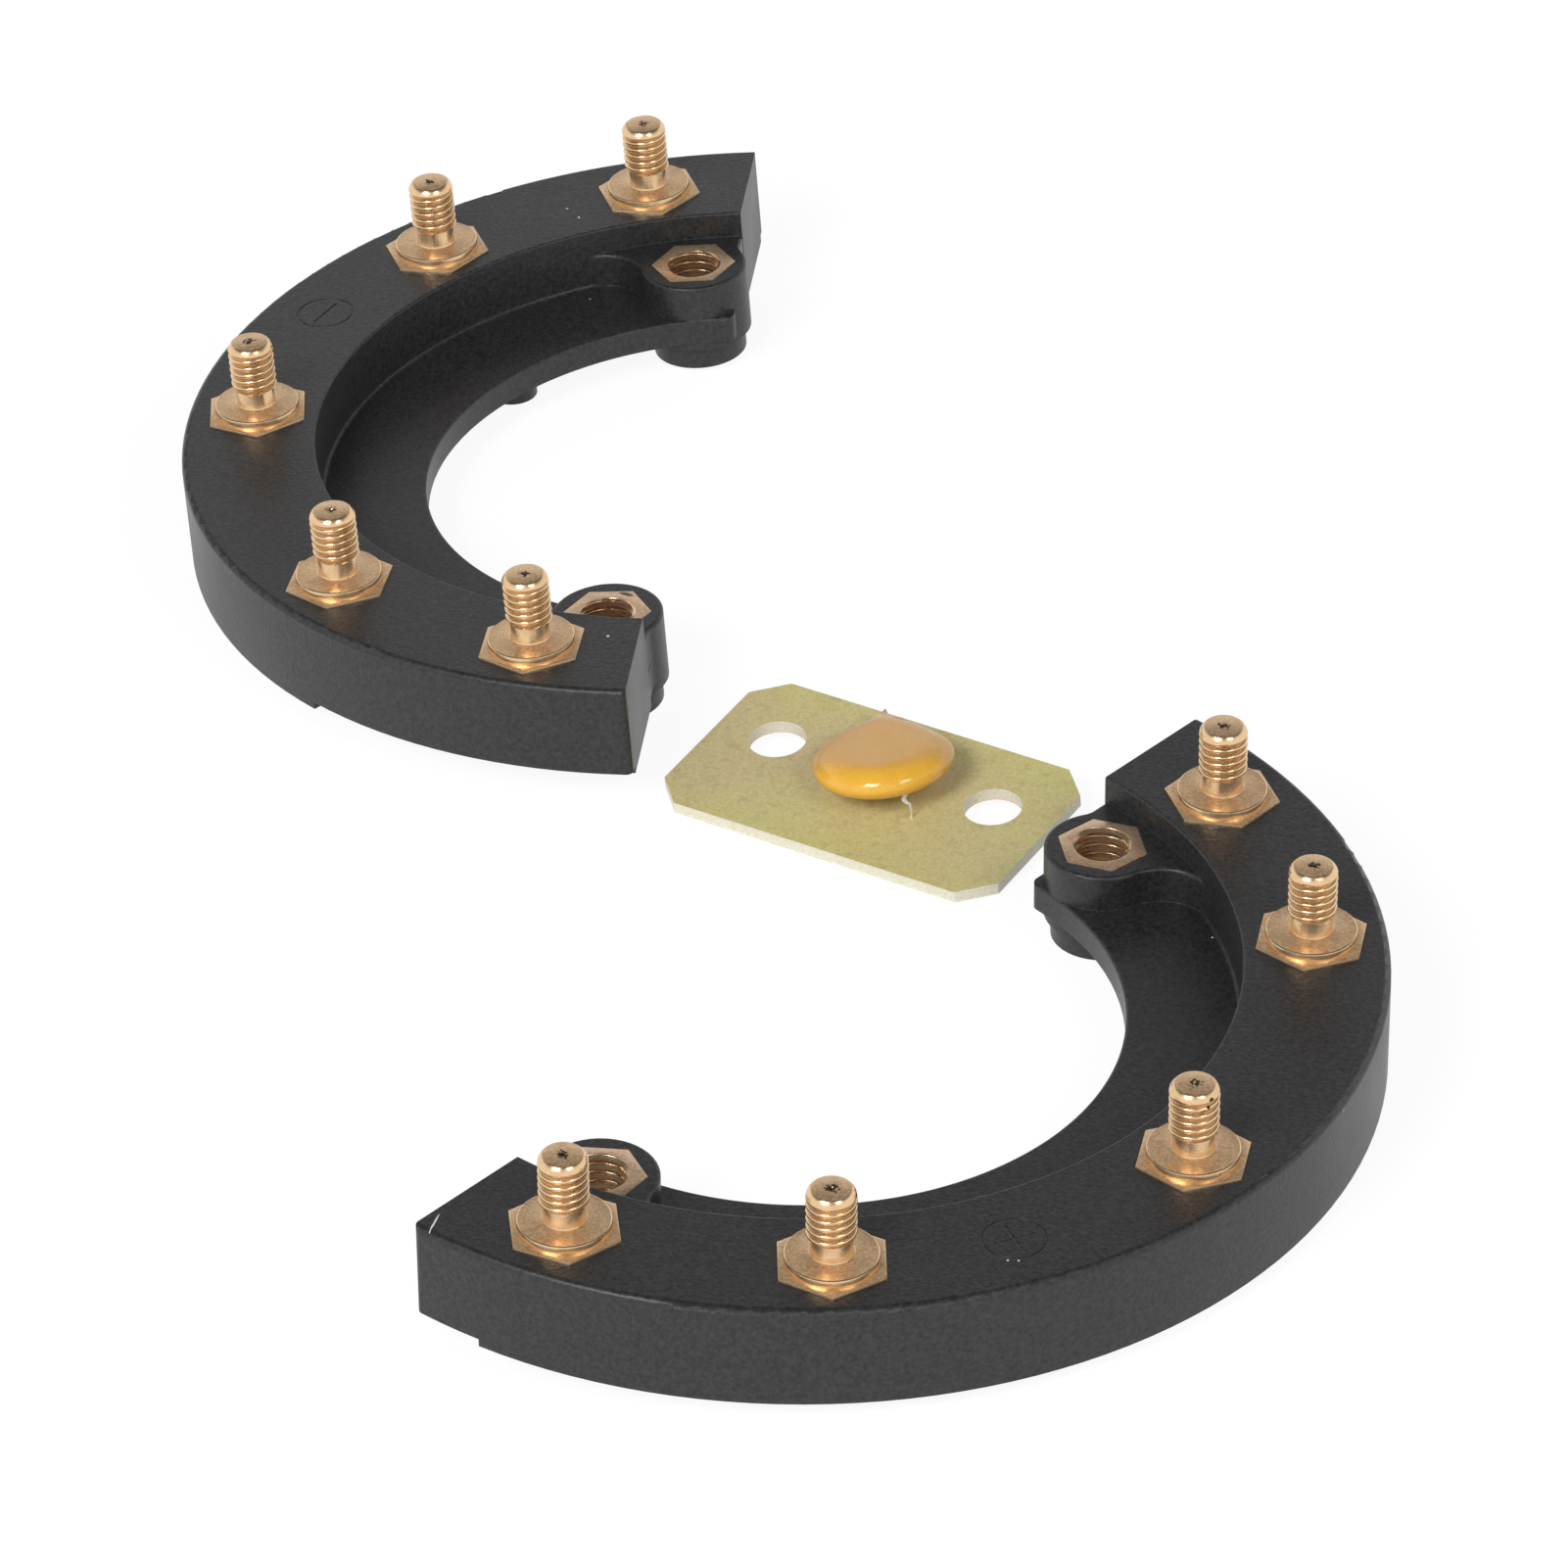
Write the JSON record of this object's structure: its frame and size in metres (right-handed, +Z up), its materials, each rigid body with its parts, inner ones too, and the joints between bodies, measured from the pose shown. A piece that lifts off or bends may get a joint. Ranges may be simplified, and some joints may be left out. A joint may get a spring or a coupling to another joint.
{
  "type": "rotating bridge rectifier",
  "caption": "Rotating diode bridge of a brushless alternator: two moulded half rings with threaded brass studs, and a surge suppressor board, laid out loose.",
  "frame": {"origin": "middle of the set's footprint, on the surface that it lies on", "axes": "+Z up, the studs' side; +Y from the plus half towards the minus half; +X towards the plus half's closed side"},
  "size_m": [0.1492, 0.2694, 0.0278],
  "materials": {
    "moulding": "satin moulded",
    "resin": "cast",
    "stud_brass": "turned, satin",
    "insert_brass": "turned, satin",
    "copper": "plain copper",
    "track": "plain copper",
    "silicon": "polished",
    "board": "woven glass and epoxy",
    "varistor_coat": "dipped coat",
    "tin": "tinned"
  },
  "bodies": {
    "root": {"plus_housing": "moulding", "plus_collector_bar": "copper", "plus_stud_1": "stud_brass", "plus_stud_2": "stud_brass", "plus_stud_3": "stud_brass", "plus_stud_4": "stud_brass", "plus_stud_5": "stud_brass", "plus_die_1": "silicon", "plus_strap_1": "copper", "plus_die_2": "silicon", "plus_strap_2": "copper", "plus_die_3": "silicon", "plus_strap_3": "copper", "plus_potting": "resin", "plus_insert_1": "insert_brass", "plus_insert_2": "insert_brass", "minus_housing": "moulding", "minus_collector_bar": "copper", "minus_stud_1": "stud_brass", "minus_stud_2": "stud_brass", "minus_stud_3": "stud_brass", "minus_stud_4": "stud_brass", "minus_stud_5": "stud_brass", "minus_die_1": "silicon", "minus_strap_1": "copper", "minus_die_2": "silicon", "minus_strap_2": "copper", "minus_die_3": "silicon", "minus_strap_3": "copper", "minus_potting": "resin", "minus_insert_1": "insert_brass", "minus_insert_2": "insert_brass", "suppressor_board": "board", "varistor": "varistor_coat", "varistor_lead_1": "tin", "copper_track_1": "track", "solder_joint_1": "tin", "varistor_lead_2": "tin", "copper_track_2": "track", "solder_joint_2": "tin"}
  },
  "joints": []
}
